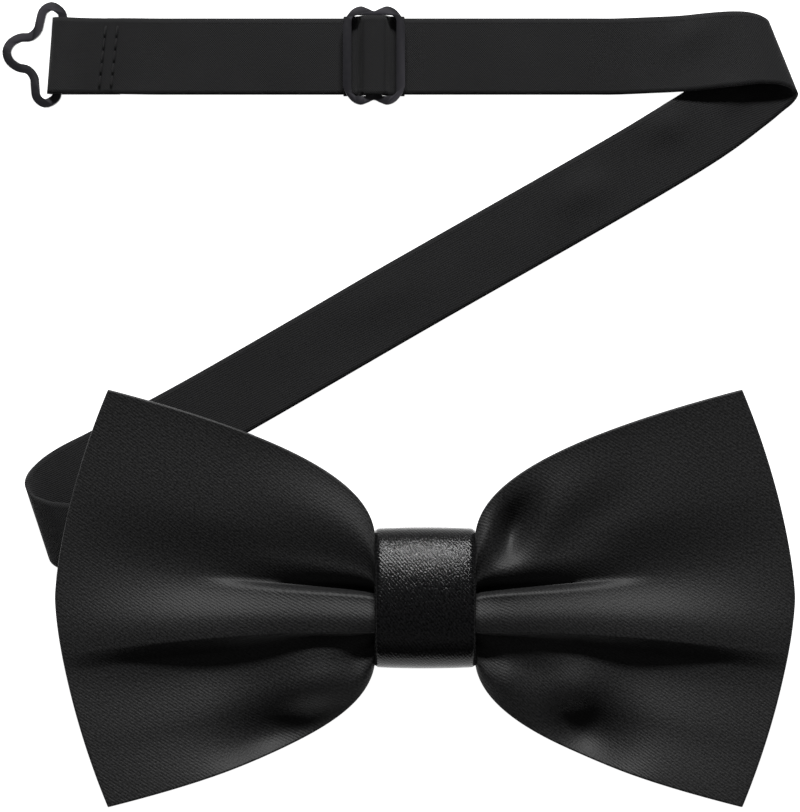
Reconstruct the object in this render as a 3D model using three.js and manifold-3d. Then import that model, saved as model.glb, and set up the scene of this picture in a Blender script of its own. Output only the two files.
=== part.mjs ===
// A pre-tied bow tie lying on a table: a pleated satin bow held in a knot band, and one neck strap
// that runs through the knot, folds twice, and carries a sliding buckle, an eye and a hook.
// Millimetres. The origin is the middle of the knot's back, X runs along the bow, Y up the knot,
// and Z away from the table.
import * as THREE from 'three';
import { mergeVertices } from 'three/addons/utils/BufferGeometryUtils.js';
import Module from 'manifold-3d';

// Bow
const BOW_WIDTH = 124;
const BOW_HEIGHT = 69.6;
const END_BULGE = 9;
const SATIN = 0.5;
const INTERLINING = 0.4;
const WING_EDGE_HEIGHT = 7;
const WAIST_FLARE = 0.45;
const LOWER_FOLD = -0.19;
const LOWER_FOLD_LEAN = 0.05;
const LOWER_FOLD_DROP = 0.28;
const UPPER_FOLD = 0.085;
const UPPER_FOLD_RISE = 0.09;

// Knot
const KNOT_WIDTH = 16.4;
const KNOT_HEIGHT = 23.6;
const KNOT_DEPTH = 15.2;
const KNOT_CORNER = 4;
const KNOT_CLOTH = 0.8;
const LINING_CLOTH = 0.4;
const LINING_SET_BACK = 0.5;
const WAIST_CORD = 0.5;
const WAIST_CORD_BAND = 3;

// Neck strap
const STRAP_WIDTH = 12.9;
const STRAP_CLOTH = 0.6;
const RUN_Y = 91.4;
const TURN_UNDER = 10.5;

// Metal fittings
const WIRE = 1.45;
const PLATE = 1.3;
const EYE_BAR_X = -61.6;
const EYE_LEAN = -0.075;
const EYE_REACH = 9.1;
const SLIDE_X = -8.6;
const SLIDE_LENGTH = 10.5;
const SLIDE_NOTCH = 0.8;
const WINDOW_CORNER = 1;
const BEND_CLOTH = 0.5;
const HOOK_BAR_X = 37;
const HOOK_TONGUE = 7.5;
const HOOK_TONGUE_WIDTH = 4.4;
const HOOK_THROAT = 2.2;
const HOOK_LIP = 2;
const HOOK_CORNER = 1.6;

// Thread and clearances
const THREAD = 0.36;
const STITCH_LENGTH = 2.1;
const STITCH_RISE = 0.12;
const STITCH_MARGIN = 1.2;
const TACK_FROM_KNOT = 1.2;
const CLOTH_GAP = 0.25;
const THREAD_GAP = 0.12;
const SIDE_GAP = 0.4;
const TABLE_GAP = 0.05;

// Heights that follow from the layers in the knot
const STRAP_TUNNEL = KNOT_CLOTH + LINING_CLOTH + 2 * CLOTH_GAP;
const BUNDLE_BOTTOM = STRAP_TUNNEL + STRAP_CLOTH + CLOTH_GAP + WAIST_CORD + CLOTH_GAP;
const BUNDLE_TOP = KNOT_DEPTH - STRAP_TUNNEL - WAIST_CORD - CLOTH_GAP;
const BUNDLE_MIDDLE = (BUNDLE_BOTTOM + BUNDLE_TOP) / 2;
const STACK = 2 * SATIN + INTERLINING + 2 * CLOTH_GAP;
const PLEAT_DEPTH = (BUNDLE_TOP - BUNDLE_BOTTOM - STACK) / 2;
const WAIST_CORNER = (BUNDLE_TOP - BUNDLE_BOTTOM) / 2;
const WAIST_HALF = KNOT_HEIGHT / 2 - STRAP_TUNNEL - WAIST_CORD - CLOTH_GAP;
const WAIST_END = KNOT_WIDTH / 2 + CLOTH_GAP;
const BAR_LOOP = Math.hypot(WIRE, PLATE) / 2 + CLOTH_GAP + STRAP_CLOTH / 2;
const BAR_HEIGHT = TABLE_GAP + STRAP_CLOTH / 2 + BAR_LOOP;
const DOUBLED = TABLE_GAP + STRAP_CLOTH + CLOTH_GAP;

const wasm = await Module();
wasm.setup();

const point = (x, y, z) => new THREE.Vector3(x, y, z);
const mix = THREE.MathUtils.lerp;

// ---- Shared ways of making a closed body ----

// A closed body through a row of outlines that have the same even number of points. The second
// half of the sides is split the other way, so that the two faces of a sheet match each other.
function loft(rings) {
  const sides = rings[0].length;
  const faces = [];
  for (let ring = 0; ring < rings.length - 1; ring += 1) {
    for (let side = 0; side < sides; side += 1) {
      const a = ring * sides + side;
      const b = ring * sides + (side + 1) % sides;
      if (side < sides / 2) {
        faces.push(a, b, b + sides, a, b + sides, a + sides);
      } else {
        faces.push(a, b, a + sides, b, b + sides, a + sides);
      }
    }
  }
  const last = (rings.length - 1) * sides;
  for (let side = 0; side < sides / 2 - 1; side += 1) {
    const [a, b, c, d] = [side, side + 1, sides - 2 - side, sides - 1 - side];
    faces.push(a, c, b, a, d, c);
    faces.push(last + a, last + b, last + c, last + a, last + c, last + d);
  }
  const geometry = new THREE.BufferGeometry();
  const places = rings.flat().flatMap((corner) => corner.toArray());
  geometry.setAttribute('position', new THREE.Float32BufferAttribute(places, 3));
  geometry.setIndex(faces);
  geometry.computeVertexNormals();
  return geometry;
}

// A flat tape along a row of stations, each with its place, its width direction and its heading.
function tape(stations, width, cloth) {
  const rings = stations.map(({ place, across, heading }) => {
    const half = across.clone().multiplyScalar(width / 2);
    const face = heading.clone().cross(across).normalize().multiplyScalar(cloth / 2);
    return [[1, 1], [-1, 1], [-1, -1], [1, -1]].map(([side, level]) =>
      place.clone().addScaledVector(half, side).addScaledVector(face, level));
  });
  return loft(rings);
}

// A round thread or wire along a curve.
function cordAlong(curve, diameter, steps, sides) {
  const outline = new THREE.Shape();
  outline.absarc(0, 0, diameter / 2, 0, 2 * Math.PI);
  const options = { extrudePath: curve, steps, curveSegments: sides, bevelEnabled: false };
  return new THREE.ExtrudeGeometry(outline, options);
}

// A loop in the YZ plane with round corners, centred on a height.
function roundedLoop(PathClass, height, depth, radius) {
  const path = new PathClass();
  const halfY = height / 2 - radius;
  const halfZ = depth / 2 - radius;
  const corners = [[halfY, halfZ, 0], [-halfY, halfZ, 1], [-halfY, -halfZ, 2], [halfY, -halfZ, 3]];
  for (const [y, z, turn] of corners) {
    path.absarc(y, z, radius, turn * Math.PI / 2, (turn + 1) * Math.PI / 2);
  }
  path.closePath();
  return path;
}

// A band that wraps the waist: a rounded loop with a wall, as wide as given along X.
function wrap(height, depth, radius, wall, width, middle) {
  const outline = roundedLoop(THREE.Shape, height, depth, radius);
  outline.holes.push(roundedLoop(THREE.Path, height - 2 * wall, depth - 2 * wall, radius - wall));
  const options = { depth: width, bevelEnabled: false, curveSegments: 6 };
  const geometry = new THREE.ExtrudeGeometry(outline, options);
  geometry.translate(0, 0, -width / 2);
  geometry.applyMatrix4(new THREE.Matrix4().makeBasis(point(0, 1, 0), point(0, 0, 1), point(1, 0, 0)));
  geometry.translate(0, 0, middle);
  return geometry;
}

function asSolid(geometry) {
  const bare = new THREE.BufferGeometry();
  const source = geometry.index ? geometry.toNonIndexed() : geometry;
  bare.setAttribute('position', source.getAttribute('position'));
  const merged = mergeVertices(bare, 1e-4);
  const vertProperties = new Float32Array(merged.getAttribute('position').array);
  const triVerts = new Uint32Array(merged.index.array);
  return new wasm.Manifold(new wasm.Mesh({ numProp: 3, vertProperties, triVerts }));
}

function joined(first, second) {
  const result = asSolid(first).add(asSolid(second)).getMesh();
  const geometry = new THREE.BufferGeometry();
  const places = Float32Array.from(result.vertProperties);
  geometry.setAttribute('position', new THREE.BufferAttribute(places, 3));
  geometry.setIndex(Array.from(result.triVerts));
  return geometry;
}

// ---- Bow: front satin, interlining and back satin, pleated together ----

const LOBE_STEPS = 7;
const WING_STEPS = 10;

// Half the bow's height at a distance from its middle: held in by the knot, then flaring.
function halfHeight(distance) {
  const flare = Math.max(0, (distance - WAIST_END) / (BOW_WIDTH / 2 - END_BULGE - WAIST_END));
  return WAIST_HALF + (BOW_HEIGHT / 2 - WAIST_HALF) * flare ** WAIST_FLARE;
}

// The bow's end bulges between its corners.
function endDistance(level) {
  return BOW_WIDTH / 2 - END_BULGE * Math.abs(level) ** 1.5;
}

// The outline across the pleats, from the lower edge to the upper one: where each stretch ends,
// from 0 to 3, its height there from -1 to 1, and how it gets there. The middle lobe is a raised
// ridge whose lower side drops to a sharp fold; the upper fold is an open valley.
const PLEATS = [
  [0.45, 0.45, 'easy'], [1, -1, 'in'], [1.22, 0.85, 'out'], [1.72, 1, 'easy'], [2, -0.75, 'in'],
  [2.5, 0.85, 'out'], [3, 0.1, 'easy'],
];
const STRETCH = {
  in: (part) => 1 - Math.cos(part * Math.PI / 2),
  out: (part) => Math.sin(part * Math.PI / 2),
  easy: (part) => part * part * (3 - 2 * part),
};

function pleatHeight(share) {
  let [low, start] = [0, 0.05];
  for (const [high, end, shape] of PLEATS) {
    if (share <= high) {
      return mix(start, end, STRETCH[shape]((share - low) / (high - low)));
    }
    [low, start] = [high, end];
  }
  return start;
}

// One point of the middle sheet. reach runs from 0 at the knot's side to 1 at the bow's end.
function bowPoint(side, reach, lobe, share) {
  const lowerFold = LOWER_FOLD - LOWER_FOLD_LEAN * reach - LOWER_FOLD_DROP * (1 - reach) ** 6;
  const upperFold = UPPER_FOLD + UPPER_FOLD_RISE * reach ** 2;
  const bounds = [-1, lowerFold, upperFold, 1];
  const level = mix(bounds[lobe], bounds[lobe + 1], share);
  const distance = mix(WAIST_END, endDistance(level), reach);
  const depth = mix(0.1, PLEAT_DEPTH, (1 - reach) ** 0.75);
  const middle = mix(BUNDLE_MIDDLE, WING_EDGE_HEIGHT, reach ** 2);
  const height = middle + depth * pleatHeight(lobe + share);
  return point(side * distance, level * halfHeight(distance), height);
}

function bowSheet(cloth, offset) {
  const columns = [];
  for (let step = -WING_STEPS; step <= WING_STEPS; step += 1) {
    const reach = Math.abs(step / WING_STEPS) ** 1.5;
    const side = Math.sign(step) || 1;
    if (step === 0) {
      columns.push([-1, 0], [1, 0]);
    } else {
      columns.push([side, reach]);
    }
  }
  const shares = [];
  for (let lobe = 2; lobe >= 0; lobe -= 1) {
    for (let step = LOBE_STEPS; step > 0; step -= 1) {
      shares.push([lobe, step / LOBE_STEPS]);
    }
  }
  shares.push([0, 0]);
  return loft(columns.map(([side, reach]) => {
    const line = shares.map(([lobe, share]) => bowPoint(side, reach, lobe, share));
    const top = line.map((place) => place.clone().setZ(place.z + offset + cloth / 2));
    const bottom = line.map((place) => place.clone().setZ(place.z + offset - cloth / 2));
    return [...top, ...bottom.reverse()];
  }));
}

const SATIN_OFFSET = INTERLINING / 2 + CLOTH_GAP + SATIN / 2;
const bowFrontPanel = () => bowSheet(SATIN, SATIN_OFFSET);
const bowInterlining = () => bowSheet(INTERLINING, 0);
const bowBackPanel = () => bowSheet(SATIN, -SATIN_OFFSET);

// ---- Knot: satin band, its lining, and the cord that ties the waist ----

function knotBand() {
  return wrap(KNOT_HEIGHT, KNOT_DEPTH, KNOT_CORNER, KNOT_CLOTH, KNOT_WIDTH, KNOT_DEPTH / 2);
}

function knotLining() {
  const inset = KNOT_CLOTH + CLOTH_GAP;
  const [height, depth] = [KNOT_HEIGHT - 2 * inset, KNOT_DEPTH - 2 * inset];
  const width = KNOT_WIDTH - 2 * LINING_SET_BACK;
  return wrap(height, depth, KNOT_CORNER - inset, LINING_CLOTH, width, KNOT_DEPTH / 2);
}

function waistCord() {
  const inset = CLOTH_GAP + WAIST_CORD;
  const height = 2 * (WAIST_HALF + inset);
  const depth = BUNDLE_TOP - BUNDLE_BOTTOM + 2 * inset;
  return wrap(height, depth, WAIST_CORNER, WAIST_CORD, WAIST_CORD_BAND, BUNDLE_MIDDLE);
}

// ---- Neck strap: one length of webbing ----

// Points round a fitting's bar, from under it to over it when it turns left, and back when right.
function roundBar(barX, y, angle, turn) {
  const stops = [0, 1, 2, 3, 4, 5, 6].map((stop) => -90 + 30 * stop);
  const ordered = turn < 0 ? stops : stops.reverse();
  return ordered.map((stop) => {
    const reach = Math.cos(THREE.MathUtils.degToRad(stop)) * BAR_LOOP;
    const rise = Math.sin(THREE.MathUtils.degToRad(stop)) * BAR_LOOP;
    const lift = BAR_HEIGHT + rise - STRAP_CLOTH / 2;
    return [barX + turn * reach, y, lift, angle, 0];
  });
}

// Each row: x, y, height of the lower edge, direction of the width in plan and its tilt in degrees.
const LEAN_ANGLE = 90 + THREE.MathUtils.radToDeg(EYE_LEAN);
const strapRoute = [
  [EYE_BAR_X + TURN_UNDER, RUN_Y, TABLE_GAP, LEAN_ANGLE, 0],
  [EYE_BAR_X + TURN_UNDER / 2, RUN_Y, TABLE_GAP, LEAN_ANGLE, 0],
  ...roundBar(EYE_BAR_X, RUN_Y, LEAN_ANGLE, -1),
  [EYE_BAR_X + 3, RUN_Y, DOUBLED + 0.8, LEAN_ANGLE, 0],
  [EYE_BAR_X + 5.2, RUN_Y, DOUBLED, LEAN_ANGLE, 0],
  [EYE_BAR_X + TURN_UNDER, RUN_Y, DOUBLED, LEAN_ANGLE, 0],
  [EYE_BAR_X + TURN_UNDER + 3, RUN_Y, DOUBLED / 2, LEAN_ANGLE + 2, 0],
  [EYE_BAR_X + TURN_UNDER + 6, RUN_Y, TABLE_GAP, 90, 0],
  [0, RUN_Y, TABLE_GAP, 90, 0],
  [28, RUN_Y, TABLE_GAP, 90, 0],
  [32, RUN_Y, TABLE_GAP, 90, 0],
  [38, 91.6, 0.1, 92, -3],
  [44.6, 91.9, 0.35, 96, -5],
  [50.5, 92.5, 0.85, 102, -6],
  [55.1, 92.8, 1.15, 107, -6],
  [58.1, 92.5, 1.3, 110, -5],
  [59.9, 91.7, 1.25, 111, -4],
  [60.5, 90.7, 0.95, 112, -3],
  [59.8, 89.5, 0.5, 113, -2],
  [58.1, 88.1, 0.2, 115, -1],
  [54.7, 85.4, 0.1, 118, 0],
  [46.3, 79.3, TABLE_GAP, 120, 0],
  [-4.3, 50, TABLE_GAP, 120, 0],
  [-38, 30.6, TABLE_GAP, 120, 0],
  [-53.5, 22.3, TABLE_GAP, 118, 1],
  [-59.8, 19, 0.1, 115, 4],
  [-63.6, 16.2, 0.15, 111, 9],
  [-65.3, 13.7, 0.4, 108, 15],
  [-64.7, 11.6, 0.6, 106, 19],
  [-62.5, 10.4, 0.75, 104, 20],
  [-58.3, 9.5, 1, 102, 13],
  [-49.8, 7.8, 1.15, 101, 6],
  [-29.6, 4, 1.35, 100, 2],
  [-10, 0.2, STRAP_TUNNEL, 91, 0],
  [0, 0, STRAP_TUNNEL, 90, 0],
  [10, 0, STRAP_TUNNEL, 90, 0],
  [HOOK_BAR_X - TURN_UNDER - 3, 0, DOUBLED + 0.2, 90, 0],
  [HOOK_BAR_X - TURN_UNDER, 0, DOUBLED, 90, 0],
  [HOOK_BAR_X - 5.2, 0, DOUBLED, 90, 0],
  [HOOK_BAR_X - 3, 0, DOUBLED + 0.8, 90, 0],
  ...roundBar(HOOK_BAR_X, 0, 90, 1),
  [HOOK_BAR_X - TURN_UNDER / 2, 0, TABLE_GAP, 90, 0],
  [HOOK_BAR_X - TURN_UNDER, 0, TABLE_GAP, 90, 0],
];

function neckStrap() {
  const half = STRAP_WIDTH / 2;
  const places = strapRoute.map(([x, y, lift, , tilt]) => {
    const rise = half * Math.abs(Math.sin(THREE.MathUtils.degToRad(tilt)));
    return point(x, y, lift + STRAP_CLOTH / 2 + rise);
  });
  const turns = strapRoute.map(([, , , angle, tilt]) => point(angle, tilt, 0));
  const route = new THREE.CatmullRomCurve3(places, false, 'centripetal');
  const turning = new THREE.CatmullRomCurve3(turns, false, 'catmullrom', 0);
  const steps = 3 * (strapRoute.length - 1);
  const stations = [];
  for (let step = 0; step <= steps; step += 1) {
    const share = step / steps;
    const turn = turning.getPoint(share);
    const [angle, tilt] = [turn.x, turn.y].map(THREE.MathUtils.degToRad);
    const flat = Math.cos(tilt);
    stations.push({
      place: route.getPoint(share),
      heading: route.getTangent(share),
      across: point(flat * Math.cos(angle), flat * Math.sin(angle), Math.sin(tilt)),
    });
  }
  return tape(stations, STRAP_WIDTH, STRAP_CLOTH);
}

// ---- Metal fittings ----

// A flat ring of wire that follows a closed curve drawn in plan.
function flatRing(curve, steps) {
  const line = curve.getPoints(steps).slice(0, steps);
  const offset = (distance) => line.map((place, index) => {
    const before = line[(index + steps - 1) % steps];
    const after = line[(index + 1) % steps];
    const along = after.clone().sub(before).normalize();
    return new THREE.Vector2(place.x + along.y * distance, place.y - along.x * distance);
  });
  const outline = new THREE.Shape(offset(WIRE / 2));
  outline.holes.push(new THREE.Path(offset(-WIRE / 2)));
  const geometry = new THREE.ExtrudeGeometry(outline, { depth: PLATE, bevelEnabled: false });
  geometry.translate(0, 0, -PLATE / 2);
  return geometry;
}

const BAR_HALF = STRAP_WIDTH / 2 + SIDE_GAP + WIRE / 2;

// The eye: a straight bar for the strap, two shoulders, and a round nose that the hook catches.
// The points are the middle of the wire, from the bar's middle to the nose.
function eyeRing() {
  const half = [
    [0, 0], [0, BAR_HALF - 1.6], [-0.35, BAR_HALF - 0.3], [-2, BAR_HALF + 0.65], [-3.4, BAR_HALF - 0.2],
    [-3.85, BAR_HALF - 2], [-4.15, 4], [-5.3, 2.8], [-7, 2.5], [0.6 - EYE_REACH, 1.5],
  ];
  const mirrored = half.slice(1).reverse().map(([x, y]) => [x, -y]);
  const places = [...half, [-EYE_REACH, 0], ...mirrored].map(([x, y]) => point(x, y, 0));
  return flatRing(new THREE.CatmullRomCurve3(places, true, 'centripetal'), 72);
}

// The slide: a plate with two round lobes at each side, and a bar between two windows. The points
// are one quarter of its outline, from its end to the notch between the lobes.
function slidePlate() {
  const end = SLIDE_LENGTH / 2;
  const side = STRAP_WIDTH / 2 + SIDE_GAP + WIRE;
  const quarter = [
    [end, side - 3.2], [end - 0.5, side - 1.9], [end - 1.6, side - 0.55], [2.3, side], [1.1, side - 0.35],
  ];
  const right = [...quarter, [0, side - SLIDE_NOTCH]];
  const upper = [...right, ...quarter.slice().reverse().map(([x, y]) => [-x, y])];
  const lower = upper.map(([x, y]) => [-x, -y]);
  const outline = new THREE.Shape();
  outline.moveTo(...upper[0]);
  outline.splineThru(upper.slice(1).map(([x, y]) => new THREE.Vector2(x, y)));
  outline.lineTo(...lower[0]);
  outline.splineThru(lower.slice(1).map(([x, y]) => new THREE.Vector2(x, y)));
  outline.closePath();
  const barHalf = WIRE / 2;
  const windowWidth = end - WIRE - barHalf;
  for (const sign of [-1, 1]) {
    const middle = sign * (barHalf + windowWidth / 2);
    outline.holes.push(roundWindow(middle, windowWidth, STRAP_WIDTH + 2 * SIDE_GAP, WINDOW_CORNER));
  }
  return new THREE.ExtrudeGeometry(outline, { depth: PLATE, bevelEnabled: false, curveSegments: 5 });
}

function roundWindow(middle, width, length, radius) {
  const path = new THREE.Path();
  const [halfX, halfY] = [width / 2 - radius, length / 2 - radius];
  const corners = [[halfX, halfY, 0], [-halfX, halfY, 1], [-halfX, -halfY, 2], [halfX, -halfY, 3]];
  for (const [x, y, turn] of corners) {
    path.absarc(middle + x, y, radius, turn * Math.PI / 2, (turn + 1) * Math.PI / 2);
  }
  path.closePath();
  return path;
}

const BEND_LOW = TABLE_GAP + STRAP_CLOTH + CLOTH_GAP + BEND_CLOTH / 2;
const SLIDE_BOTTOM = BEND_LOW + BEND_CLOTH / 2 + CLOTH_GAP;
const BEND_HIGH = SLIDE_BOTTOM + PLATE + CLOTH_GAP + BEND_CLOTH / 2;

// The stretch of webbing that passes under the slide's ends and over its middle bar.
function strapBend() {
  const end = SLIDE_LENGTH / 2;
  const windowMiddle = (end - WIRE / 2) / 2;
  const rising = [
    [-end + 0.5, BEND_LOW], [-end + WIRE + 0.3, BEND_LOW], [-windowMiddle - 0.3, BEND_LOW + 0.35],
    [-windowMiddle + 0.1, (BEND_LOW + BEND_HIGH) / 2], [-windowMiddle + 0.65, BEND_HIGH - 0.3],
    [-WIRE / 2, BEND_HIGH],
  ];
  const falling = rising.slice().reverse().map(([x, z]) => [-x, z]);
  const places = [...rising, [0, BEND_HIGH], ...falling].map(([x, z]) => point(x, 0, z));
  const route = new THREE.CatmullRomCurve3(places, false, 'centripetal');
  const stations = [];
  for (let step = 0; step <= 36; step += 1) {
    const share = step / 36;
    const [place, heading] = [route.getPoint(share), route.getTangent(share)];
    stations.push({ place, heading, across: point(0, 1, 0) });
  }
  return tape(stations, STRAP_WIDTH, BEND_CLOTH);
}

// The hook: a frame round the strap's loop, and a tongue that turns back over itself.
function hookPlate() {
  const frameLength = 2 * BAR_LOOP + 2 * WIRE + SIDE_GAP;
  const middle = frameLength / 2 - WIRE / 2;
  const windowWidth = frameLength - 2 * WIRE;
  const rim = roundWindow(middle, frameLength, 2 * BAR_HALF + WIRE, HOOK_CORNER);
  const outline = new THREE.Shape(rim.getPoints(5));
  outline.holes.push(roundWindow(middle, windowWidth, 2 * BAR_HALF - WIRE, HOOK_CORNER / 2));
  const frame = new THREE.ExtrudeGeometry(outline, { depth: PLATE, bevelEnabled: false, curveSegments: 5 });
  frame.translate(0, 0, -PLATE / 2);
  const start = frameLength - WIRE;
  const tip = start + HOOK_TONGUE;
  const bend = HOOK_THROAT / 2 + PLATE / 2;
  const profile = new THREE.Shape();
  profile.moveTo(start, -PLATE / 2);
  profile.lineTo(tip - bend, -PLATE / 2);
  profile.absarc(tip - bend, HOOK_THROAT / 2 + PLATE / 2, bend + PLATE / 2, -Math.PI / 2, Math.PI / 2);
  profile.lineTo(start + HOOK_LIP, HOOK_THROAT + PLATE * 1.5);
  profile.lineTo(start + HOOK_LIP, HOOK_THROAT + PLATE / 2);
  profile.lineTo(tip - bend, HOOK_THROAT + PLATE / 2);
  profile.absarc(tip - bend, HOOK_THROAT / 2 + PLATE / 2, bend - PLATE / 2, Math.PI / 2, -Math.PI / 2, true);
  profile.lineTo(start, PLATE / 2);
  profile.closePath();
  const options = { depth: HOOK_TONGUE_WIDTH, bevelEnabled: false, curveSegments: 8 };
  const tongue = new THREE.ExtrudeGeometry(profile, options);
  tongue.rotateX(Math.PI / 2);
  tongue.translate(0, HOOK_TONGUE_WIDTH / 2, 0);
  return joined(frame, tongue);
}

// ---- Stitching ----

// A row of stitches: one thread that rises over each stitch and dips between them.
function stitchRow(from, to, rise) {
  const length = from.distanceTo(to);
  const stitches = Math.round(length / STITCH_LENGTH);
  const places = [];
  for (let step = 0; step <= 4 * stitches; step += 1) {
    const wave = rise * (0.5 - 0.5 * Math.cos(step * Math.PI / 2));
    places.push(from.clone().lerp(to, step / (4 * stitches)).add(point(0, 0, wave)));
  }
  const curve = new THREE.CatmullRomCurve3(places, false, 'centripetal');
  return cordAlong(curve, THREAD, 4 * stitches, 5);
}

// A row across a sewn loop, on top of its two layers and parallel to the fitting's bar.
function loopRow(x, middleY, lean) {
  const half = STRAP_WIDTH / 2 - STITCH_MARGIN;
  const height = DOUBLED + STRAP_CLOTH + THREAD_GAP + THREAD / 2;
  const shift = half * Math.tan(-lean);
  const [low, high] = [point(x - shift, middleY - half, height), point(x + shift, middleY + half, height)];
  return stitchRow(low, high, STITCH_RISE);
}

const SEAM_TURN = THREE.MathUtils.degToRad(50);

// The seam that closes the knot band, round the corner from its lower side to its back.
function knotSeam() {
  const reach = KNOT_CORNER + THREAD_GAP + THREAD / 2 + STITCH_RISE;
  const y = KNOT_CORNER - KNOT_HEIGHT / 2 - reach * Math.cos(SEAM_TURN);
  const z = KNOT_CORNER - reach * Math.sin(SEAM_TURN);
  const half = KNOT_WIDTH / 2 - STITCH_MARGIN;
  return stitchRow(point(-half, y, z), point(half, y, z), STITCH_RISE);
}

// A tack that holds the strap to the knot's side, across the strap's width.
function strapTack(side) {
  const x = side * (KNOT_WIDTH / 2 + TACK_FROM_KNOT);
  const z = STRAP_TUNNEL - THREAD_GAP - THREAD / 2 - STITCH_RISE;
  const half = STRAP_WIDTH / 2 - STITCH_MARGIN;
  return stitchRow(point(x, -half, z), point(x, half, z), STITCH_RISE);
}

// ---- The assembly ----

const SATIN_LOOK = { color: 0x1c1c1e, roughness: 0.42, metalness: 0 };
const LINING_LOOK = { color: 0x2a2a2c, roughness: 0.9, metalness: 0 };
const WEBBING_LOOK = { color: 0x161617, roughness: 0.85, metalness: 0 };
const METAL_LOOK = { color: 0x131216, roughness: 0.35, metalness: 0.6 };
const THREAD_LOOK = { color: 0x101011, roughness: 0.7, metalness: 0 };

function piece(name, geometry, look) {
  const mesh = new THREE.Mesh(geometry, new THREE.MeshStandardMaterial(look));
  mesh.name = name;
  return mesh;
}

const bow = new THREE.Group();
bow.add(
  piece('bow_front_panel', bowFrontPanel(), SATIN_LOOK),
  piece('bow_interlining', bowInterlining(), LINING_LOOK),
  piece('bow_back_panel', bowBackPanel(), SATIN_LOOK),
  piece('waist_cord', waistCord(), THREAD_LOOK),
);

const knot = new THREE.Group();
knot.add(
  piece('knot_band', knotBand(), SATIN_LOOK),
  piece('knot_lining', knotLining(), LINING_LOOK),
  piece('knot_seam_stitches', knotSeam(), THREAD_LOOK),
);

const strap = new THREE.Group();
strap.add(
  piece('neck_strap', neckStrap(), WEBBING_LOOK),
  piece('strap_tack_left', strapTack(-1), THREAD_LOOK),
  piece('strap_tack_right', strapTack(1), THREAD_LOOK),
);

const ROW_FROM_BAR = [7.1, 9.1];
ROW_FROM_BAR.forEach((distance, index) => {
  const eyeRow = loopRow(EYE_BAR_X + distance, RUN_Y, EYE_LEAN);
  const hookRow = loopRow(HOOK_BAR_X - distance, 0, 0);
  strap.add(piece(`eye_stitch_row_${index + 1}`, eyeRow, THREAD_LOOK));
  strap.add(piece(`hook_stitch_row_${index + 1}`, hookRow, THREAD_LOOK));
});

const eye = piece('eye', eyeRing(), METAL_LOOK);
eye.position.set(EYE_BAR_X, RUN_Y, BAR_HEIGHT);
eye.rotation.z = EYE_LEAN;

const slide = new THREE.Group();
slide.position.set(SLIDE_X, RUN_Y, 0);
const plate = piece('strap_slide', slidePlate(), METAL_LOOK);
plate.position.z = SLIDE_BOTTOM;
slide.add(plate, piece('strap_bend', strapBend(), WEBBING_LOOK));

const hook = piece('hook', hookPlate(), METAL_LOOK);
hook.position.set(HOOK_BAR_X, 0, BAR_HEIGHT);

const bowTie = new THREE.Group();
bowTie.name = 'bow_tie';
bowTie.add(bow, knot, strap, eye, slide, hook);

export default bowTie;
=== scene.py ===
import math
import bpy
import numpy as np
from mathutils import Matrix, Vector


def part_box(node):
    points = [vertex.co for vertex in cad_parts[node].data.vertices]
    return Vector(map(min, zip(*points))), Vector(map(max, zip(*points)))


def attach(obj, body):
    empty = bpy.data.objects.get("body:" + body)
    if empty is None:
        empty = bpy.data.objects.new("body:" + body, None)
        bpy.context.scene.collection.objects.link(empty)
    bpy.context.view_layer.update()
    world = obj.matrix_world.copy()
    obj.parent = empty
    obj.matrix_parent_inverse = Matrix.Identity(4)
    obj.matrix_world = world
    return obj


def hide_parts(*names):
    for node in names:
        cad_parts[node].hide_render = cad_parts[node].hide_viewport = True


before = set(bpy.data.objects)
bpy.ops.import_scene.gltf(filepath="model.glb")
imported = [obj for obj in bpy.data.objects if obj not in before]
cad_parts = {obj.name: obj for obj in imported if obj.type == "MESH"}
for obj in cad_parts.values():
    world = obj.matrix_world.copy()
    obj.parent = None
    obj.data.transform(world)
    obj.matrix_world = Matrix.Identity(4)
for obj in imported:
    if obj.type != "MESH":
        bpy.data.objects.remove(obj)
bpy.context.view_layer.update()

MM = 0.001

# ---------------------------------------------------------------------------
# The table, camera and lights. The tie lies on a white table and is seen from
# straight above by a long lens. A bright lamp stands low beyond the tie's upper
# edge, a wide faint one hangs over its lower side, and the room fills in a little.
# ---------------------------------------------------------------------------
VIEW_MIDDLE = Vector((-4.2, 32.2, 4.0)) * MM
VIEW_HEIGHT = 136.9 * MM
LENS = 200
FILM = 36

bpy.ops.object.select_all(action="DESELECT")
bpy.ops.mesh.primitive_plane_add(size=4)
table = bpy.context.object
table.name = "table"
paper = bpy.data.materials.new("white_table")
paper.use_nodes = True
paper_shader = paper.node_tree.nodes["Principled BSDF"]
paper_shader.inputs["Base Color"].default_value = (0.9, 0.9, 0.9, 1)
paper_shader.inputs["Roughness"].default_value = 0.9
paper_shader.inputs["Emission Color"].default_value = (1, 1, 1, 1)
paper_shader.inputs["Emission Strength"].default_value = 1.0
table.data.materials.append(paper)

distance = LENS / FILM * VIEW_HEIGHT
bpy.ops.object.camera_add(location=VIEW_MIDDLE + Vector((0, 0, distance)), rotation=(0, 0, 0))
camera = bpy.context.object
camera.data.lens = LENS
camera.data.sensor_fit = "VERTICAL"
camera.data.sensor_height = FILM
camera.data.clip_start = 0.01
bpy.context.scene.camera = camera


def lamp(name, azimuth, tilt, away, width, length, power):
    """A flat lamp tilt degrees off straight above, towards azimuth, aimed at the knot."""
    turn, lean = math.radians(azimuth), math.radians(tilt)
    offset = Vector((math.sin(lean) * math.cos(turn), math.sin(lean) * math.sin(turn), math.cos(lean)))
    bpy.ops.object.light_add(type="AREA", location=offset * away)
    light = bpy.context.object
    light.name = name
    light.rotation_euler = offset.to_track_quat("Z", "Y").to_euler()
    light.data.shape = "RECTANGLE"
    light.data.size = width
    light.data.size_y = length
    light.data.energy = power


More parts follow.
